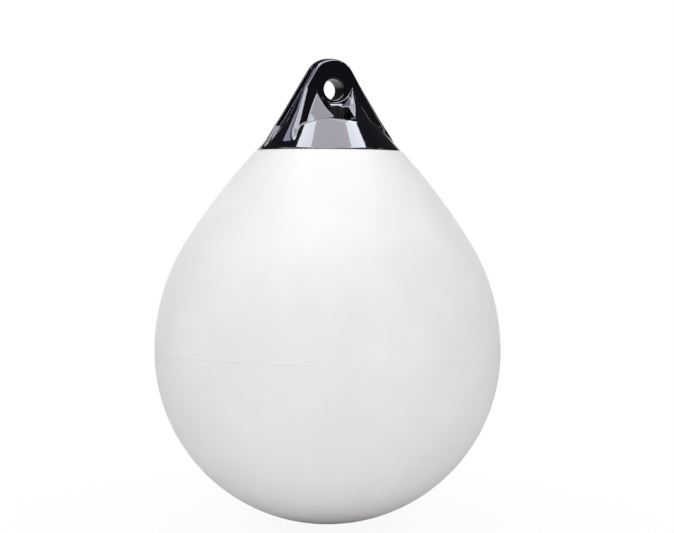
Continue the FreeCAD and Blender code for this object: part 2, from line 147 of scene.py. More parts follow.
def ball_vinyl():
    """White with a thin coat: broad clouds tint and roughen it, finer noise is its bump."""
    material, tree = new_material("soft_white_PVC_moulded")
    place = add(tree, "ShaderNodeTexCoord")
    haze = add(tree, "ShaderNodeTexNoise", {"Vector": (place, "Object")},
               {"Scale": 14.0, "Detail": 3.0, "Roughness": 0.55})
    tint = add(tree, "ShaderNodeValToRGB", {"Fac": (haze, "Fac")})
    tint.color_ramp.elements[0].position = 0.3
    tint.color_ramp.elements[0].color = linear("#ebe9e8")
    tint.color_ramp.elements[1].position = 0.75
    tint.color_ramp.elements[1].color = linear("#f0efee")
    gloss = add(tree, "ShaderNodeMapRange", {"Value": (haze, "Fac")},
                {"From Min": 0.3, "From Max": 0.7, "To Min": 0.40, "To Max": 0.46})
    skin = add(tree, "ShaderNodeTexNoise", {"Vector": (place, "Object")},
               {"Scale": 60.0, "Detail": 2.0, "Roughness": 0.5})
    bump = add(tree, "ShaderNodeBump", {"Height": (skin, "Fac")},
               {"Strength": 0.12, "Distance": 0.0006})
    surface = add(tree, "ShaderNodeBsdfPrincipled",
                  {"Base Color": (tint, "Color"), "Roughness": (gloss, "Result"),
                   "Normal": (bump, "Normal")},
                  {"IOR": 1.53, "Specular IOR Level": 0.05,
                   "Coat Weight": 0.03, "Coat Roughness": 0.16})
    add(tree, "ShaderNodeOutputMaterial", {"Surface": (surface, "BSDF")})
    return material


white_vinyl = ball_vinyl()
print("material:", white_vinyl.name, "of", len(white_vinyl.node_tree.nodes), "nodes")

# %% [markdown]
# ## Vinyl for the eye
# The eye is injection moulded in solid black PVC with a polished steel mould, so
# it comes out glossy, with a faint blue-black tone and a slight waviness, about
# 13 mm across, where thick sections shrank. Rubbing dulls it in spots of 5 mm.

# %% Eye material


def eye_vinyl():
    """Gloss black: coarse noise is its bump, fine noise its roughness."""
    material, tree = new_material("gloss_black_PVC_moulded")
    place = add(tree, "ShaderNodeTexCoord")
    sink = add(tree, "ShaderNodeTexNoise", {"Vector": (place, "Object")},
               {"Scale": 75.0, "Detail": 1.0, "Roughness": 0.4})
    bump = add(tree, "ShaderNodeBump", {"Height": (sink, "Fac")},
               {"Strength": 0.06, "Distance": 0.0008})
    rub = add(tree, "ShaderNodeTexNoise", {"Vector": (place, "Object")},
              {"Scale": 220.0, "Detail": 4.0, "Roughness": 0.6})
    gloss = add(tree, "ShaderNodeMapRange", {"Value": (rub, "Fac")},
                {"From Min": 0.35, "From Max": 0.75, "To Min": 0.045, "To Max": 0.08})
    surface = add(tree, "ShaderNodeBsdfPrincipled",
                  {"Roughness": (gloss, "Result"), "Normal": (bump, "Normal")},
                  {"Base Color": linear("#0c0c12"), "IOR": 1.54})
    add(tree, "ShaderNodeOutputMaterial", {"Surface": (surface, "BSDF")})
    return material


black_vinyl = eye_vinyl()
print("material:", black_vinyl.name, "of", len(black_vinyl.node_tree.nodes), "nodes")

# %% [markdown]
# ## The ball
# The skin is a body of revolution: a half sphere, a wider arc at the shoulder and
# a long flat flank, each tangent to the last, up to the joint with the eye. On
# arcs, the slope of the surface alone says where a point lies.

# %% Profile of the ball
BALL_R = 185.0 * MM
SHOULDER_R = 221.0 * MM
SHOULDER_TURN = math.radians(32.0)
FLANK_R = 646.0 * MM
JOINT_R = 77.9 * MM
JOINT_Z = -65.0 * MM

flank_centre_r = BALL_R - SHOULDER_R + (SHOULDER_R - FLANK_R) * math.cos(SHOULDER_TURN)
flank_centre_rise = (SHOULDER_R - FLANK_R) * math.sin(SHOULDER_TURN)
joint_slope = math.acos((JOINT_R - flank_centre_r) / FLANK_R)
girth_z = JOINT_Z - flank_centre_rise - FLANK_R * math.sin(joint_slope)


def ball_profile(slope):
    """Radius and height for a surface slope: centre plus radius times its cosine
    and sine, with the sphere below the girth, then shoulder, then flank."""
    low, high = slope < 0, slope > SHOULDER_TURN
    reach = np.where(low, BALL_R, np.where(high, FLANK_R, SHOULDER_R))
    out = np.where(low, 0.0, np.where(high, flank_centre_r, BALL_R - SHOULDER_R))
    rise = np.where(high, flank_centre_rise, 0.0)
    return out + reach * np.cos(slope), girth_z + rise + reach * np.sin(slope)


print("girth at z %.4f, joint at slope %.1f degrees" % (girth_z, math.degrees(joint_slope)))

# %% [markdown]
# Two helpers make the mesh of a turned shape from a grid of points and put a new
# piece in the place of imported nodes: on the same body, with its material.

# %% Mesh and piece helpers


def grid_mesh(name, points):
    """Quads between neighbours of a (rows, columns, 3) grid, columns joined in a ring,
    and one polygon that closes the small first ring."""
    rows, columns = points.shape[:2]
    index = np.arange(rows * columns).reshape(rows, columns)
    after = np.roll(index, -1, axis=1)
    quads = np.stack([index[:-1], after[:-1], after[1:], index[1:]], axis=-1).reshape(-1, 4)
    mesh = bpy.data.meshes.new(name)
    mesh.from_pydata(points.reshape(-1, 3), [], quads.tolist() + [index[0, ::-1].tolist()])
    mesh.shade_smooth()
    return mesh


def show(name, mesh, material, slot, *nodes):
    """Puts a mesh in the scene on the root body in place of CAD nodes."""
    piece = bpy.data.objects.new(name, mesh)
    bpy.context.scene.collection.objects.link(piece)
    mesh.materials.clear()
    mesh.materials.append(material)
    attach(piece, "root")
    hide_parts(*nodes)
    return piece


# %% [markdown]
# The two mould halves leave a raised line just above the girth, so the rings are
# closest there. One grid of points, slope by turn, gives the whole skin. Its edge
# turns in under the eye and stops, because none of its inside can be seen.

# %% Skin of the ball
SKIN = 3.6 * MM
MOULD_LINE_ABOVE_GIRTH = 3.2 * MM
MOULD_LINE_HEIGHT = 0.35 * MM
MOULD_LINE_WIDTH = 0.9 * MM
LINE_SPAN = 0.012
TUCK = (0.35, 1.0)
POLE_R = 0.1 * MM
LOWEST_SLOPE = math.radians(-89.5)
ROWS_BELOW_GIRTH = 110
ROWS_ABOVE_GIRTH = 120
ROWS_AT_LINE = 15
COLUMNS = 336


def make_ball():
    """Rings at slopes from the bottom pole to the joint, finer within LINE_SPAN of the
    mould line, then the skin's edge turned in by the shares TUCK of its thickness.
    The line adds height * exp(-(away / width) squared) along the normal."""
    line_slope = MOULD_LINE_ABOVE_GIRTH / SHOULDER_R
    fine = np.linspace(-LINE_SPAN, LINE_SPAN, ROWS_AT_LINE) + line_slope
    lower = np.linspace(LOWEST_SLOPE, 0.0, ROWS_BELOW_GIRTH)[:-1]
    upper = np.linspace(0.0, joint_slope, ROWS_ABOVE_GIRTH)
    slope = np.unique(np.concatenate([lower, upper, fine]))
    radius, height = ball_profile(slope)
    away = (height - girth_z - MOULD_LINE_ABOVE_GIRTH) / MOULD_LINE_WIDTH
    ridge = MOULD_LINE_HEIGHT * np.exp(-away ** 2)
    radius = radius + ridge * np.cos(slope)
    height = height + ridge * np.sin(slope)
    tuck = np.array(TUCK) * SKIN
    radius = np.concatenate([[POLE_R], radius, radius[-1] - tuck * math.cos(joint_slope)])
    height = np.concatenate([[girth_z - BALL_R], height, height[-1] - tuck * math.sin(joint_slope)])
    turn = np.linspace(0, 2 * np.pi, COLUMNS, endpoint=False)
    points = np.stack([
        radius[:, None] * np.cos(turn),
        radius[:, None] * np.sin(turn),
        np.broadcast_to(height[:, None], (len(height), len(turn))),
    ], axis=-1)
    return grid_mesh("inflated_ball", points)


ball = show("inflated_ball", make_ball(), white_vinyl, "ball_vinyl", "float_ball")
print("ball:", len(ball.data.vertices), "points,", len(ball.data.polygons), "polygons")

# %% [markdown]
# ## The shape of the rope eye
# The eye is one moulding without a sharp edge: every corner is a fillet, and
# the plate's own edge rounding grows from 3 mm at the top to 13 mm at the foot.
# Its highlights run along those fillets, so they have to be true arcs. The
# shape is therefore written as a distance field. Planes, cones and cylinders
# each give a distance and its direction, and two fields meet in an arc whose
# radius is given. Lengths in this part are millimetres.

# %% Distance fields
TINY = 1e-6
OPPOSED, ALIGNED = -0.999, 0.9999


def plane(point, normal, offset):
    """Distance n . p - offset to a plane, with its direction n."""
    rows = [np.full_like(point[0], part) for part in normal]
    return np.stack([sum(n * p for n, p in zip(normal, point)) - offset] + rows)


def cone(point, radius, height, lean):
    """Distance (r - radius) cos(lean) + (z - height) sin(lean) to a cone about Z."""
    x, y, z = point
    r = np.maximum(np.hypot(x, y), TINY)
    c, s = math.cos(lean), math.sin(lean)
    return np.stack([(r - radius) * c + (z - height) * s, x / r * c, y / r * c, np.full_like(r, s)])


def meet(a, b, radius):
    """Common part of two solids whose edge is an arc of that radius. With u and v
    the distances from the two faces set back by the radius and c the cosine
    between them, the edge's distance is sqrt((u u + v v - 2 c u v) / (1 - c c))."""
    c = np.clip((a[1:] * b[1:]).sum(axis=0), OPPOSED, ALIGNED)
    u, v = a[0] + radius, b[0] + radius
    edge = (u > c * v) & (v > c * u)
    s = 1 - c * c
    reach = np.sqrt(np.maximum(u * u + v * v - 2 * c * u * v, TINY ** 2) / s)
    part_a = np.where(edge, (u - c * v) / (s * reach), u >= v)
    part_b = np.where(edge, (v - c * u) / (s * reach), u < v)
    distance = np.where(edge, reach, np.maximum(u, v)) - radius
    return np.concatenate([distance[None], part_a * a[1:] + part_b * b[1:]])


def join(a, b, radius):
    """Both solids together, with a concave arc of that radius between them."""
    return -meet(-a, -b, radius)


def probe(name, field, *point):
    """Prints how deep a point lies in a shape, negative outside: minus its distance."""
    spot = np.array(point, dtype=float).reshape(3, 1)
    print("%s: the point %s lies %.1f mm deep" % (name, point, -field(spot)[0, 0]))


probe("a plane 10 mm up", lambda p: plane(p, (0, 0, 1), 10.0), 0, 0, 4)

# %% [markdown]
# The crown is a rounded cone about the upright axis, as if turned. The plate is
# what two faces leave of it: upright round the hole, then flaring twice towards
# the foot, where the pull of the line goes over into the skirt.

# %% Crown and plate
TOP = 33.2
BASE = -65.0
CROWN_R = 35.7
CROWN_ROUND = 25.0
SIDE_LEAN = math.radians(30.2)
FLARE_LEAN = math.radians(32.6)
FLARE_Z = -30.0
FLARE_BEND = 400.0
HALF_PLATE = 12.0
BELL_LEAN = math.radians(22.5)
BELL_Z = 2.7
BELL_BEND = 25.0
TOE_LEAN = math.radians(50.0)
TOE_Z = -48.0
TOE_BEND = 30.0


def crown_field(point, inset=0.0):
    """Cone of radius CROWN_R at the hole's height, which bends out at FLARE_Z, under
    the top plane with an arc of CROWN_ROUND; all of it set back by the inset."""
    waist = CROWN_R - FLARE_Z * math.tan(SIDE_LEAN)
    side = cone(point, waist, FLARE_Z, SIDE_LEAN)
    flare = cone(point, waist, FLARE_Z, FLARE_LEAN)
    crown = meet(join(side, flare, FLARE_BEND), plane(point, (0, 0, 1), TOP), CROWN_ROUND)
    crown[0] += inset
    return crown


def leaning_face(point, y, z, lean):
    """Face through (y, z) whose normal rises by lean from the Y axis."""
    c, s = math.cos(lean), math.sin(lean)
    return plane(point, (0, c, s), y * c + z * s)


def plate_field(point):
    """Upright face at HALF_PLATE that flares into a bell at BELL_Z and a toe at TOE_Z."""
    toe_y = HALF_PLATE + (BELL_Z - TOE_Z) * math.tan(BELL_LEAN)
    flat = leaning_face(point, HALF_PLATE, 0.0, 0.0)
    bell = leaning_face(point, HALF_PLATE, BELL_Z, BELL_LEAN)
    toe = leaning_face(point, toe_y, TOE_Z, TOE_LEAN)
    return join(join(flat, bell, BELL_BEND), toe, TOE_BEND)


probe("crown", crown_field, 30, 0, 0)
probe("plate", plate_field, 0, 0, 20)

# %% [markdown]
# A thick moulding sinks as it cools, so each end of the plate is hollowed by a
# kite-shaped groove. The kite is what two pairs of leaning faces have in common,
# one pair to each tip, and its floor is the crown itself, set back.

# %% Grooves in the ends
GROOVE_HALF_WIDTH = 13.0
GROOVE_WIDEST_Z = -39.0
GROOVE_TIPS = (34.0, -63.5)
GROOVE_DEPTH = 5.0
TIP_ROUND = 1.8
CORNER_ROUND = 3.0
FLOOR_ROUND = 1.5


def both_sides(point, axis, make, radius):
    """A face and its mirror image across the plane axis = 0."""
    other = list(point)
    other[axis] = -other[axis]
    image = make(other)
    image[1 + axis] *= -1
    return meet(make(point), image, radius)


def groove_side(tip):
    """Maker of the straight side from the widest place to the tip at (0, tip)."""
    rise = tip - GROOVE_WIDEST_Z
    long = math.hypot(rise, GROOVE_HALF_WIDTH)
    normal = (0, abs(rise) / long, math.copysign(GROOVE_HALF_WIDTH, rise) / long)
    return lambda p: plane(p, normal, tip * normal[2])


def groove_field(point):
    """Kite in (y, z), its tips blunted by TIP_ROUND to about z = 26 and -62, cut down
    to the crown set back by the depth."""
    upper, lower = (both_sides(point, 1, groove_side(tip), TIP_ROUND) for tip in GROOVE_TIPS)
    return meet(meet(upper, lower, CORNER_ROUND), -crown_field(point, GROOVE_DEPTH), FLOOR_ROUND)


probe("groove", groove_field, 60, 0, -39)

# %% [markdown]
# On each face two gussets lean against the plate. A round hollow below the
# hole parts them into a pair of horns and leaves room for the rope. It widens
# outwards like a funnel, as the mould has to come off it, so it is a cone.

# %% Gussets and hollow
GUSSET_TURN = math.radians(28.0)
GUSSET_LEAN = math.radians(34.3)
GUSSET_DISTANCE = 16.2
GUSSET_ROUND = 1.0
BULGE_WAY = (0.976, -0.295, -0.289)
BULGE_START = 14.5
BULGE_R = 180.0
FUNNEL_Z = 7.5
FUNNEL_R = 21.5
FUNNEL_FLARE = 0.66
FUNNEL_ROUND = 1.0


def gusset_field(point):
    """Faces turned from the front and leaning back, at GUSSET_DISTANCE from the hole's
    centre. Past BULGE_START along BULGE_WAY, t further on, they fall back by
    t t / (2 BULGE_R), which bulges their outer lower corner."""
    across, out = math.sin(GUSSET_TURN), math.cos(GUSSET_TURN)
    face = (across * math.cos(GUSSET_LEAN), out * math.cos(GUSSET_LEAN), math.sin(GUSSET_LEAN))

    def side(p):
        further = np.maximum(plane(p, BULGE_WAY, BULGE_START)[0], 0)
        rows = [n + further / BULGE_R * b for n, b in zip(face, BULGE_WAY)]
        flat = plane(p, face, GUSSET_DISTANCE)[0]
        field = np.stack([flat + further ** 2 / (2 * BULGE_R)] + rows)
        return field / np.sqrt((field[1:] ** 2).sum(axis=0))

    return both_sides(point, 0, side, GUSSET_ROUND)


def hollow_field(point):
    """Cone about a line along Y at FUNNEL_Z, of radius FUNNEL_R at the plate's face and
    FUNNEL_FLARE wider for each millimetre out from it."""
    x, y, z = point
    rise = z - FUNNEL_Z
    r = np.maximum(np.hypot(x, rise), TINY)
    away = r - FUNNEL_R - FUNNEL_FLARE * (y - HALF_PLATE)
    funnel = np.stack([away, x / r, np.full_like(r, -FUNNEL_FLARE), rise / r])
    funnel /= math.hypot(1.0, FUNNEL_FLARE)
    return meet(funnel, plane(point, (0, -1, 0), -HALF_PLATE), FUNNEL_ROUND)


probe("gussets", gusset_field, 20, 10, -20)
probe("hollow", hollow_field, 0, 20, 0)

# %% [markdown]
# The skirt covers the joint with the ball. It carries on the slope of the ball's
# flank, so it is a cone too. A wide arch across it makes its upper edge, which
# is rolled over most where the rope passes, between the horns.

# %% Skirt
UPRIGHT_STEP = 1.0
STEP_ROUND = 1.5
ARCH_R = 110.0
ARCH_Z = -29.8
ARCH_ROUND = 4.0
ROLL_ROUND = 18.0
ROLL_HALF_WIDTH = 17.0


def skirt_field(point):
    """Cone to the joint, upright for its last millimetre, under an arch whose edge is
    rounded by ARCH_ROUND, and by up to ROLL_ROUND more between the horns."""
    x, _, z = point
    slope = cone(point, JOINT_R / MM, BASE, joint_slope)
    upright = cone(point, JOINT_R / MM - UPRIGHT_STEP, BASE, 0.0)
    rise = z - ARCH_Z + ARCH_R
    r = np.hypot(x, rise)
    arch = np.stack([r - ARCH_R, x / r, np.zeros_like(r), rise / r])
    edge = ARCH_ROUND + ROLL_ROUND * np.exp(-(x / ROLL_HALF_WIDTH) ** 4)
    return meet(meet(slope, upright, STEP_ROUND), arch, edge)


probe("skirt", skirt_field, 60, 0, -60)

# %% [markdown]
# The valve sits in a small boss between the horns, with its upper edge bevelled
# and a hollow in front of it for the fingers. The hole for the rope is plain,
# 22.4 mm across, with a 1.4 mm round at each mouth.

# %% Boss, pocket and hole
MOULD_EDGE = 0.8
BOSS_HALF_WIDTH = 10.5
BOSS_Y = 21.0
BOSS_TOP = -15.0
BOSS_BEVEL = 5.0
BOSS_CORNER = 4.0
POCKET_HALF_WIDTH = 11.5
POCKET_FLOOR = -38.8
POCKET_TOP = -10.0
POCKET_CORNER = 3.0
SKIRT_WALL = 5.0
HOLE_R = 11.2
MOUTH_ROUND = 1.4
SEAT_R = 8.3
SEAT_Z = -25.6
SEAT_DEPTH = 2.0


def boss_field(point):
    """Block with a bevel of 45 degrees along its upper front edge."""
    face = leaning_face(point, BOSS_Y, 0.0, 0.0)
    bevel = leaning_face(point, BOSS_Y, BOSS_TOP - BOSS_BEVEL, math.radians(45.0))
    top = plane(point, (0, 0, 1), BOSS_TOP)
    sides = plane(point, (1, 0, 0), BOSS_HALF_WIDTH)
    return meet(meet(sides, top, BOSS_CORNER), meet(face, bevel, MOULD_EDGE), MOULD_EDGE)


def pocket_field(point):
    """Hollow between the boss and the skirt's wall, from its floor up into the funnel."""
    far = JOINT_R / MM - (ARCH_Z - BASE) * math.tan(joint_slope) - SKIRT_WALL
    depth = meet(plane(point, (0, 1, 0), far), plane(point, (0, -1, 0), -BOSS_Y), 0.0)
    floor, top = plane(point, (0, 0, -1), -POCKET_FLOOR), plane(point, (0, 0, 1), POCKET_TOP)
    sides = plane(point, (1, 0, 0), POCKET_HALF_WIDTH)
    return meet(meet(depth, sides, POCKET_CORNER), meet(top, floor, MOULD_EDGE), MOULD_EDGE)


def drill_field(point, radius, height):
    """Cylinder along Y, with the distance r - radius."""
    x, _, z = point
    r = np.maximum(np.hypot(x, z - height), TINY)
    return np.stack([r - radius, x / r, np.zeros_like(r), (z - height) / r])


def seat_field(point):
    """Recess for the flange of the valve sleeve in the front of the boss."""
    drill = drill_field(point, SEAT_R, SEAT_Z)
    return meet(drill, plane(point, (0, 1, 0), SEAT_DEPTH - BOSS_Y), 0.0)


probe("boss", boss_field, 0, 15, -25)
probe("pocket", pocket_field, 0, 26, -30)
probe("seat", seat_field, 0, -20, -25.6)

# %% [markdown]
# Now the parts are put together. Only a quarter has to be worked out, because
# the eye is the same on both sides and, but for the valve's seat, in front and
# behind. The gussets join the plate and are hollowed, then skirt and boss join
# them, and grooves, pocket and hole are cut last.

# %% The whole eye
TOP_ROUND = 3.0
FOOT_ROUND = 13.0
WEB_INSET = 3.0
WEB_EDGE = 1.0
WEB_FILLET = 1.5
HORN_TOP = -1.0
HORN_ROUND = 2.5
GROOVE_EDGE = 2.2
SEAT_EDGE = 0.4


def eye_quarter(point):
    """The eye for x and y from 0 up. The edge of the plate is rounded by TOP_ROUND at
    the top, growing with the square of the way down to FOOT_ROUND at the base."""
    share = (TOP - point[2]) / (TOP - BASE)
    rounding = TOP_ROUND + (FOOT_ROUND - TOP_ROUND) * share ** 2
    solid = meet(crown_field(point), plate_field(point), rounding)
    webs = meet(gusset_field(point), crown_field(point, WEB_INSET), WEB_EDGE)
    webs = meet(webs, plane(point, (0, 0, 1), HORN_TOP), HORN_ROUND)
    solid = meet(join(solid, webs, WEB_FILLET), -hollow_field(point), MOUTH_ROUND)
    solid = join(join(solid, skirt_field(point), MOULD_EDGE), boss_field(point), MOULD_EDGE)
    solid = meet(solid, -groove_field(point), GROOVE_EDGE)
    solid = meet(solid, -pocket_field(point), MOULD_EDGE)
    return meet(solid, -drill_field(point, HOLE_R, 0.0), MOUTH_ROUND)


def eye_field(point):
    """The whole eye: the quarter mirrored both ways, with the valve's seat in front."""
    x, y, z = point
    field = eye_quarter((np.abs(x), np.abs(y), z))
    field[1] *= np.where(x < 0, -1, 1)
    field[2] *= np.where(y < 0, -1, 1)
    return meet(field, -seat_field(point), SEAT_EDGE)


probe("eye, above the hole", eye_field, 0, 0, 20)
probe("eye, in the hole", eye_field, 0, 0, 0)

# %% [markdown]
# A mesh needs points, so the field is sampled on a lattice of cubes. The planes
# of symmetry run half a cell from the nearest samples, so that a quarter can be
# mirrored. It is worked out in slabs, which keeps the arrays small.

# %% Samples of the field
CELL = 1.2
HALF_SPAN = 79.0
HEIGHT = 100.0
SLAB = 11


def sample_eye():
    """Field on the lattice, one quarter worked out and mirrored, then the seat."""
    half = np.arange(0.5, HALF_SPAN / CELL) * CELL
    upright = BASE + np.arange(0, HEIGHT / CELL) * CELL
    x, y, z = np.meshgrid(half, half, upright, indexing="ij")
    slabs = [slice(i, i + SLAB) for i in range(0, len(half), SLAB)]
    quarter = np.concatenate([eye_quarter((x[i], y[i], z[i]))[0] for i in slabs])
    value = np.concatenate([quarter[::-1], quarter])
    value = np.concatenate([value[:, ::-1], value], axis=1)
    full = np.concatenate([-half[::-1], half])
    front = full < 0
    x, y, z = np.meshgrid(full, full[front], upright, indexing="ij")
    value[:, front] = np.maximum(value[:, front], -seat_field((x, y, z))[0])
    return value, np.array([full[0], full[0], BASE])


samples, first_sample = sample_eye()
print("samples of the field:", samples.shape)

# %% [markdown]
# The surface runs where the samples change sign. Each cell that it crosses gets
# one point, at the mean of the crossings on its edges, and each crossed lattice
# edge gets a quad between the four cells round it. This way has no table of
# cases, and its quads stay even, which shading likes.

# %% Surface from the samples


def corner_means(value):
    """Cells crossed by the surface and the mean place of their edges' crossings."""
    below = value < 0
    shape = tuple(n - 1 for n in value.shape)
    offsets = [(i, j, k) for i in (0, 1) for j in (0, 1) for k in (0, 1)]
    count = sum(below[i:i + shape[0], j:j + shape[1], k:k + shape[2]].astype(np.int8)
                for i, j, k in offsets)
    cells = np.argwhere((count > 0) & (count < len(offsets)))
    total, hits = np.zeros((len(cells), 3)), np.zeros((len(cells), 1))
    for first in offsets:
        for axis in range(3):
            if first[axis]:
                continue
            step = np.eye(3, dtype=int)[axis]
            a = value[tuple((cells + first).T)]
            b = value[tuple((cells + first + step).T)]
            crossed = (a < 0) != (b < 0)
            share = np.where(crossed, a / np.where(crossed, a - b, 1), 0)
            total += np.where(crossed[:, None], first + share[:, None] * step, 0)
            hits += crossed[:, None]
    return cells, cells + total / hits


def lattice_quads(value, index):
    """Four cells round every lattice edge with one end inside, facing outwards."""
    below = value < 0
    quads = []
    for axis in range(3):
        u, v = (axis + 1) % 3, (axis + 2) % 3
        low = np.moveaxis(below, axis, 0)[:-1]
        high = np.moveaxis(below, axis, 0)[1:]
        edges = np.argwhere(np.moveaxis(low != high, 0, axis))
        ok = (edges[:, u] > 0) & (edges[:, v] > 0)
        ok &= (edges[:, u] < below.shape[u] - 1) & (edges[:, v] < below.shape[v] - 1)
        edges = edges[ok]
        back_u, back_v = np.eye(3, dtype=int)[u], np.eye(3, dtype=int)[v]
        ring = [edges - back_u - back_v, edges - back_v, edges, edges - back_u]
        quad = np.stack([index[tuple(cell.T)] for cell in ring], axis=-1)
        outward = below[tuple(edges.T)]
        quads.append(np.where(outward[:, None], quad, quad[:, ::-1]))
    return np.concatenate(quads)


# %% [markdown]
# Those points lie near the surface. The field's own direction leads each of them
# on to it, and the same direction gives the shading. A gloss finish shows every
# facet, so triangles are split where the direction turns quickly, on the fillets.

# %% Points on the surface
BEND = math.radians(6.0)
SPLITS = 2
SHORTEST = 0.6
BLEND = 0.8
SETTLE_STEPS = 4


def settle(points):
    """Points moved along the field's direction, by its distance but no more than half
    a cell at a time, until they lie on the surface."""
    for _ in range(SETTLE_STEPS):
        field = eye_field(points.T)
        step = np.clip(field[0], -0.5 * CELL, 0.5 * CELL)
        points = points - (step * field[1:]).T
    return points, eye_field(points.T)[1:].T


def blended_normals(points):
    """Mean direction of the field at BLEND to either side along each axis, so that
    the surface's bend sets in softly where a flat runs into an arc."""
    steps = np.concatenate([np.eye(3), -np.eye(3)]) * BLEND
    total = sum(eye_field((points + step).T)[1:].T for step in steps)
    return total / np.linalg.norm(total, axis=1, keepdims=True)


def triangles(quads, normals):
    """Quads cut along the diagonal whose two normals agree better."""
    a, b, c, d = quads.T
    first = (normals[a] * normals[c]).sum(axis=1) > (normals[b] * normals[d]).sum(axis=1)
    one = np.where(first[:, None], np.stack([a, b, c], -1), np.stack([a, b, d], -1))
    two = np.where(first[:, None], np.stack([a, c, d], -1), np.stack([b, c, d], -1))
    return np.concatenate([one, two])


def split_bent(points, normals, faces, rim):
    """Cuts each edge whose end normals differ by more than BEND, unless it is short or
    on the rim, and makes two to four triangles of those with one to three cut edges.
    a, b, c are a triangle's corners and p, q, r the middles of ab, bc and ca."""
    ends = np.sort(np.stack([faces, np.roll(faces, -1, axis=1)], axis=-1), axis=-1)
    edges, edge_of = np.unique(ends.reshape(-1, 2), axis=0, return_inverse=True)
    cut = (normals[edges[:, 0]] * normals[edges[:, 1]]).sum(axis=1) < math.cos(BEND)
    cut &= np.linalg.norm(points[edges[:, 0]] - points[edges[:, 1]], axis=1) > SHORTEST
    cut &= ~np.isin(edges, rim).all(axis=1)
    middle, direction = settle(points[edges[cut]].mean(axis=1))
    number = np.where(cut, len(points) + np.cumsum(cut) - 1, -1)
    middle_of = number[edge_of.reshape(-1, 3)]
    cuts = (middle_of >= 0).sum(axis=1)
    first = np.where(cuts == 2, (middle_of < 0).argmax(axis=1) + 1, (middle_of >= 0).argmax(axis=1))
    turned = (first[:, None] + np.arange(3)) % 3
    a, b, c = np.take_along_axis(faces, turned, 1).T
    p, q, r = np.take_along_axis(middle_of, turned, 1).T
    patterns = {0: [(a, b, c)], 1: [(a, p, c), (p, b, c)], 2: [(p, b, q), (a, p, q), (a, q, c)],
                3: [(a, p, r), (p, b, q), (r, q, c), (p, q, r)]}
    parts = [np.stack(corners, -1)[cuts == n] for n, made in patterns.items() for corners in made]
    points, normals = np.concatenate([points, middle]), np.concatenate([normals, direction])
    return points, normals, np.concatenate(parts)


# %% [markdown]
# Below the joint sits a collar that the skin is fused to, with a hollow up into
# the eye. Both are plain turned shapes, so a few rings are enough. The collar's
# outside follows the inside of the skin.

# %% Collar
COLLAR = 5.0
COLLAR_STEPS = (7, 14, 20)
STEP_DEPTH = 0.9
CORE_TOP = -45.0


def flank_point(inset, below):
    """Point inside the flank by inset, that far below the joint along the skin."""
    slope = joint_slope - below / (FLANK_R / MM)
    reach = FLANK_R / MM - inset
    return (flank_centre_r / MM + reach * math.cos(slope),
            (girth_z + flank_centre_rise) / MM + reach * math.sin(slope))


def collar_rings():
    """Radius and height of each ring: step, collar down outside, up inside, core top."""
    outside = SKIN / MM
    inside = outside + COLLAR
    shoulder_r, shoulder_z = flank_point(inside, 0)
    rings = [(JOINT_R / MM - UPRIGHT_STEP, BASE - STEP_DEPTH)]
    rings += [flank_point(outside, below) for below in (0, *COLLAR_STEPS)]
    rings += [flank_point(inside, below) for below in (*COLLAR_STEPS[::-1], 0)]
    rings += [(shoulder_r - (CORE_TOP - shoulder_z) * math.tan(joint_slope), CORE_TOP)]
    return rings


print("collar, radius and height:", ["%.1f %.1f" % ring for ring in collar_rings()])

# %% [markdown]
# All of it becomes one closed shell. The lowest points of the surface are set on
# the circle of the joint, and the rings of the collar start from them. Blender
# finds the shading of the rings, and the rest keeps the field's direction.

# %% Mesh of the eye


def lowest_ring(value, cells, points):
    """Points round the outside of the lowest layer, by angle, set on the joint's circle."""
    low = np.flatnonzero(cells[:, 2] == 0)
    floor = value[:, :, 0] < 0
    i, j = cells[low, 0], cells[low, 1]
    around = floor[i, j].astype(int) + floor[i + 1, j] + floor[i, j + 1] + floor[i + 1, j + 1]
    rim = low[(around > 0) & (around < 4)]
    angle = np.arctan2(points[rim, 1], points[rim, 0])
    order = np.argsort(angle)
    rim, angle = rim[order], angle[order]
    radius = JOINT_R / MM - UPRIGHT_STEP
    level = np.full(len(rim), BASE)
    points[rim] = np.stack([radius * np.cos(angle), radius * np.sin(angle), level], -1)
    return rim, angle


def make_eye(value, corner):
    """Surface from the samples, refined where it bends, with the collar's rings below."""
    cells, places = corner_means(value)
    index = np.full(tuple(n - 1 for n in value.shape), -1)
    index[tuple(cells.T)] = np.arange(len(cells))
    points, normals = settle(corner + CELL * places)
    rim, angle = lowest_ring(value, cells, points)
    faces = triangles(lattice_quads(value, index), normals)
    print("from the samples:", len(faces), "triangles")
    for _ in range(SPLITS):
        points, normals, faces = split_bent(points, normals, faces, rim)
        print("after a split:", len(faces), "triangles")
    normals = blended_normals(points)

    r, z = np.array(collar_rings()).T[:, :, None]
    turned = np.stack(np.broadcast_arrays(r * np.cos(angle), r * np.sin(angle), z), axis=-1)
    start, count = len(points), len(rim)
    loops = [rim] + [start + count * n + np.arange(count) for n in range(len(turned))]
    collar = [np.stack([b, np.roll(b, -1), np.roll(a, -1), a], -1) for a, b in zip(loops, loops[1:])]
    core_top = loops[-1][::-1].tolist()
    polygons = faces.tolist() + np.concatenate(collar).tolist() + [core_top]
    points = np.concatenate([points, turned.reshape(-1, 3)])
    mesh = bpy.data.meshes.new("moulded_rope_eye")
    mesh.from_pydata(points * MM, [], polygons)
    mesh.shade_smooth()
    normals[rim] = 0.0
    left_to_blender = np.zeros((turned.size // 3, 3))
    mesh.normals_split_custom_set_from_vertices(np.concatenate([normals, left_to_blender]))
    return mesh


eye_mesh = make_eye(samples, first_sample)
show("moulded_rope_eye", eye_mesh, black_vinyl, "eye_vinyl", "rope_eye")
eye_mesh.calc_loop_triangles()
print("eye:", len(eye_mesh.vertices), "points,", len(eye_mesh.loop_triangles), "triangles")

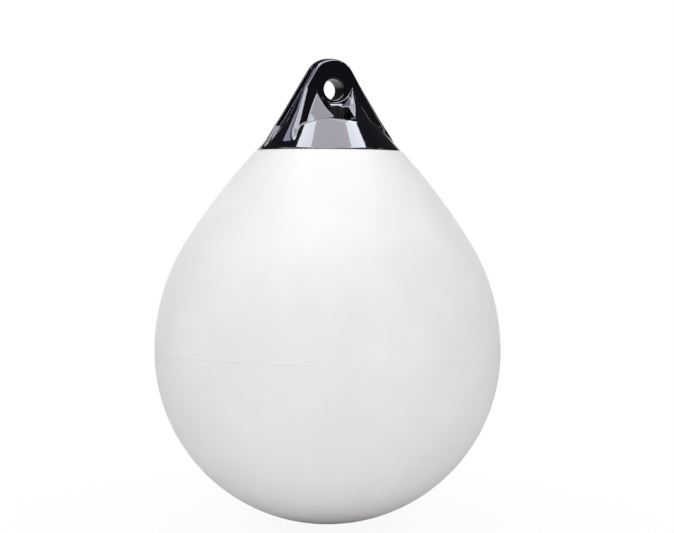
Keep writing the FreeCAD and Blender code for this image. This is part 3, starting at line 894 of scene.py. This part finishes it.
# %% [markdown]
# ## The valve
# Sleeve and plug are turned or moulded in hard nylon with a satin finish, and the
# plug closes on a soft rubber ring. They sit deep between the horns, so the CAD
# meshes are kept as they are and get materials: nylon with a mould texture of
# 0.6 mm, coarser than the real one so that it shows, and rubber with a dull,
# slightly uneven skin.

# %% Valve materials


def satin_nylon():
    """Nearly black: fine noise is its bump, coarse noise its roughness."""
    material, tree = new_material("satin_black_nylon")
    place = add(tree, "ShaderNodeTexCoord")
    grain = add(tree, "ShaderNodeTexNoise", {"Vector": (place, "Object")},
                {"Scale": 1800.0, "Detail": 3.0, "Roughness": 0.6})
    bump = add(tree, "ShaderNodeBump", {"Height": (grain, "Fac")},
               {"Strength": 0.25, "Distance": 0.00008})
    rub = add(tree, "ShaderNodeTexNoise", {"Vector": (place, "Object")},
              {"Scale": 160.0, "Detail": 2.0})
    gloss = add(tree, "ShaderNodeMapRange", {"Value": (rub, "Fac")},
                {"From Min": 0.3, "From Max": 0.7, "To Min": 0.30, "To Max": 0.42})
    surface = add(tree, "ShaderNodeBsdfPrincipled",
                  {"Roughness": (gloss, "Result"), "Normal": (bump, "Normal")},
                  {"Base Color": linear("#1b1b1d"), "IOR": 1.53})
    add(tree, "ShaderNodeOutputMaterial", {"Surface": (surface, "BSDF")})
    return material


def seal_rubber():
    """Dull black: one noise is both its bump and its tone."""
    material, tree = new_material("matt_black_nitrile_rubber")
    place = add(tree, "ShaderNodeTexCoord")
    skin = add(tree, "ShaderNodeTexNoise", {"Vector": (place, "Object")},
               {"Scale": 900.0, "Detail": 4.0, "Roughness": 0.7})
    bump = add(tree, "ShaderNodeBump", {"Height": (skin, "Fac")},
               {"Strength": 0.35, "Distance": 0.00012})
    dust = add(tree, "ShaderNodeValToRGB", {"Fac": (skin, "Fac")})
    dust.color_ramp.elements[0].color = linear("#141414")
    dust.color_ramp.elements[1].color = linear("#232322")
    surface = add(tree, "ShaderNodeBsdfPrincipled",
                  {"Base Color": (dust, "Color"), "Normal": (bump, "Normal")},
                  {"Roughness": 0.72, "IOR": 1.52})
    add(tree, "ShaderNodeOutputMaterial", {"Surface": (surface, "BSDF")})
    return material


nylon = satin_nylon()
VALVE = {"valve_sleeve": nylon, "valve_plug": nylon, "valve_seal": seal_rubber()}
for node, material in VALVE.items():
    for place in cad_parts[node].material_slots:
        place.material = material
print("valve:", {node: material.name for node, material in VALVE.items()})

# %% [markdown]
# ## Light and ground
# The photograph is a studio shot on white. The glossy eye mirrors the room: a
# broad grey panel overhead, a bright strip on each side of it, a white sheet
# behind, a few small lamps far out and darkness elsewhere. Those are lamps that
# only mirrors see, with the radiance read from the reflections. The others light
# the ball and are not mirrored, so that each can be matched on its own.

# %% Lamp helper


def lamp_at(name, spot, facing, width, height, radiance, colour):
    """Rectangle lamp in camera directions (across, towards, up); power = radiance * area * pi."""
    data = bpy.data.lights.new(name, "AREA")
    data.shape = "RECTANGLE"
    data.size, data.size_y = width, height
    data.energy = radiance * width * height * math.pi
    data.color = linear(colour)[:3]
    lamp = bpy.data.objects.new(name, data)
    ways = (camera_side, camera_back, Vector((0, 0, 1)))
    ahead = sum((way * part for way, part in zip(ways, facing)), Vector()).normalized()
    right = (camera_side - ahead * camera_side.dot(ahead)).normalized()
    turn = Matrix((right, right.cross(ahead), -ahead)).transposed().to_4x4()
    place = sum((way * part for way, part in zip(ways, spot)), Vector())
    lamp.matrix_world = Matrix.Translation(place) @ turn
    lamp.visible_camera = False
    bpy.context.scene.collection.objects.link(lamp)
    return lamp


# %% [markdown]
# Each row is a lamp: its name, then where it stands and where it faces as the
# camera sees it (across, towards the camera, up, in metres), its width, height,
# radiance and colour.

# %% Lamps
DOWN = (0, 0, -1)
MIRRORED = [
    ("left_strip", (-0.606, 0.05, 1.5), DOWN, 0.36, 1.45, 13.0, "#f0f5ff"),
    ("right_strip", (0.715, -0.06, 1.5), DOWN, 0.37, 1.30, 13.0, "#f0f5ff"),
    ("ceiling", (0.05, -0.06, 1.5), DOWN, 0.94, 1.38, 7.0, "#f6f2ff"),
    ("front_ceiling", (0.135, 0.95, 1.5), DOWN, 1.83, 0.60, 12.0, "#eef3ff"),
    ("front_high", (-0.10, 1.75, 1.35), (0, -1, -0.8), 1.2, 0.9, 9.0, "#eef3ff"),
    ("left_ceiling", (-1.54, -0.075, 1.5), DOWN, 0.32, 1.15, 5.0, "#d4d2f2"),
    ("left_corner", (-1.13, 0.25, 1.5), DOWN, 0.50, 0.50, 5.0, "#d4d2f2"),
    ("far_left", (-2.05, 0.35, 1.5), DOWN, 0.55, 0.85, 16.0, "#d4d2f2"),
    ("far_right", (2.0, -0.62, 1.5), DOWN, 0.50, 0.40, 7.0, "#eef3ff"),
    ("backdrop", (0.0, -2.5, 0.0), (0, 1, 0), 4.0, 1.3, 1.0, "#ffffff"),
    ("back_left", (-1.5, -2.5, 0.8), (0, 1, 0), 0.5, 0.3, 3.5, "#e6e6ff"),
    ("right_side", (1.43, 0.05, 1.5), DOWN, 0.18, 0.60, 9.0, "#eef3ff"),
]
LIGHTING = [
    ("overhead", (0.0, 0.0, 1.8), DOWN, 2.4, 2.4, 1.05, "#ffffff"),
    ("high_front", (0.0, 1.6, 1.7), (0, -1, -1), 2.0, 1.2, 0.58, "#ffffff"),
    ("left_fill", (-1.75, 0.3, 1.35), (1, -0.1, -0.85), 1.6, 1.6, 2.1, "#ffffff"),
    ("right_fill", (1.75, 0.3, 1.35), (-1, -0.1, -0.85), 1.6, 1.6, 1.65, "#ffffff"),
    ("near_front", (0.0, 2.0, -0.15), (0, -1, 0), 0.9, 0.9, 4.8, "#ffffff"),
    ("behind", (0.0, -2.2, 1.2), (0, 1, -0.6), 3.0, 1.2, 0.6, "#ffffff"),
]
for row in MIRRORED:
    lamp_at(*row).visible_diffuse = False
for row in LIGHTING:
    lamp_at(*row).visible_glossy = False
print("lamps:", len(MIRRORED), "for the mirrors and", len(LIGHTING), "for the light")

# %% [markdown]
# Behind the ball the photograph is pure white, yet the studio is dark in the
# mirrors of the eye. So the world answers by kind of ray: white to the camera,
# nearly black to mirrors and a soft sky to everything else.

# %% World


def make_world():
    """White for the camera, dim for mirrors and a soft sky for the rest."""
    world = bpy.data.worlds.new("white_studio")
    bpy.context.scene.world = world
    world.use_nodes = True
    tree = world.node_tree
    tree.nodes.clear()
    rays = add(tree, "ShaderNodeLightPath")
    sky, mirrored, white = (
        add(tree, "ShaderNodeBackground", None, {"Color": linear("#ffffff"), "Strength": strength})
        for strength in (0.29, 0.05, 1.0)
    )
    some = add(tree, "ShaderNodeMixShader",
               {"Fac": (rays, "Is Glossy Ray"), 1: (sky, 0), 2: (mirrored, 0)})
    seen = add(tree, "ShaderNodeMixShader",
               {"Fac": (rays, "Is Camera Ray"), 1: (some, 0), 2: (white, 0)})
    add(tree, "ShaderNodeOutputWorld", {"Surface": (seen, 0)})
    return world


print("world:", make_world().name)

# %% [markdown]
# The ground is a sweep of white paper. It lights itself for the camera, so it
# comes out white without more light on the ball, and near the ball it gives up
# a little of that so that the contact shadow stays.

# %% Floor
FLOOR_HALF = 6.0
FLOOR_GAP = 0.5 * MM


def make_floor():
    """White sheet under the ball, self-lit for the camera so that the ground stays
    white; near the ball a share of the real light lets the contact shadow show."""
    mesh = bpy.data.meshes.new("floor")
    low = girth_z - BALL_R - FLOOR_GAP
    corners = [(x * FLOOR_HALF, y * FLOOR_HALF, low) for x, y in ((-1, -1), (1, -1), (1, 1), (-1, 1))]
    mesh.from_pydata(corners, [], [(0, 1, 2, 3)])
    material, tree = new_material("white_paper_sweep")
    place = add(tree, "ShaderNodeTexCoord")
    spread = add(tree, "ShaderNodeVectorMath", {0: (place, "Object")}, {1: (1, 1, 0)},
                 operation="MULTIPLY")
    away = add(tree, "ShaderNodeVectorMath", {0: (spread, "Vector")}, operation="LENGTH")
    share = add(tree, "ShaderNodeMapRange", {"Value": (away, "Value")},
                {"From Min": 0.05, "From Max": 0.45, "To Min": 0.92, "To Max": 1.0})
    rays = add(tree, "ShaderNodeLightPath")
    seen = add(tree, "ShaderNodeMath", {0: (rays, "Is Camera Ray"), 1: (share, "Result")},
               operation="MULTIPLY")
    paper = add(tree, "ShaderNodeBsdfDiffuse", None, {"Color": linear("#e8e8e8")})
    glow = add(tree, "ShaderNodeEmission", None, {"Color": linear("#ffffff"), "Strength": 1.0})
    mix = add(tree, "ShaderNodeMixShader", {"Fac": (seen, 0), 1: (paper, 0), 2: (glow, 0)})
    add(tree, "ShaderNodeOutputMaterial", {"Surface": (mix, 0)})
    mesh.materials.append(material)
    floor = bpy.data.objects.new("floor", mesh)
    bpy.context.scene.collection.objects.link(floor)
    return low


print("floor at z %.4f" % make_floor())
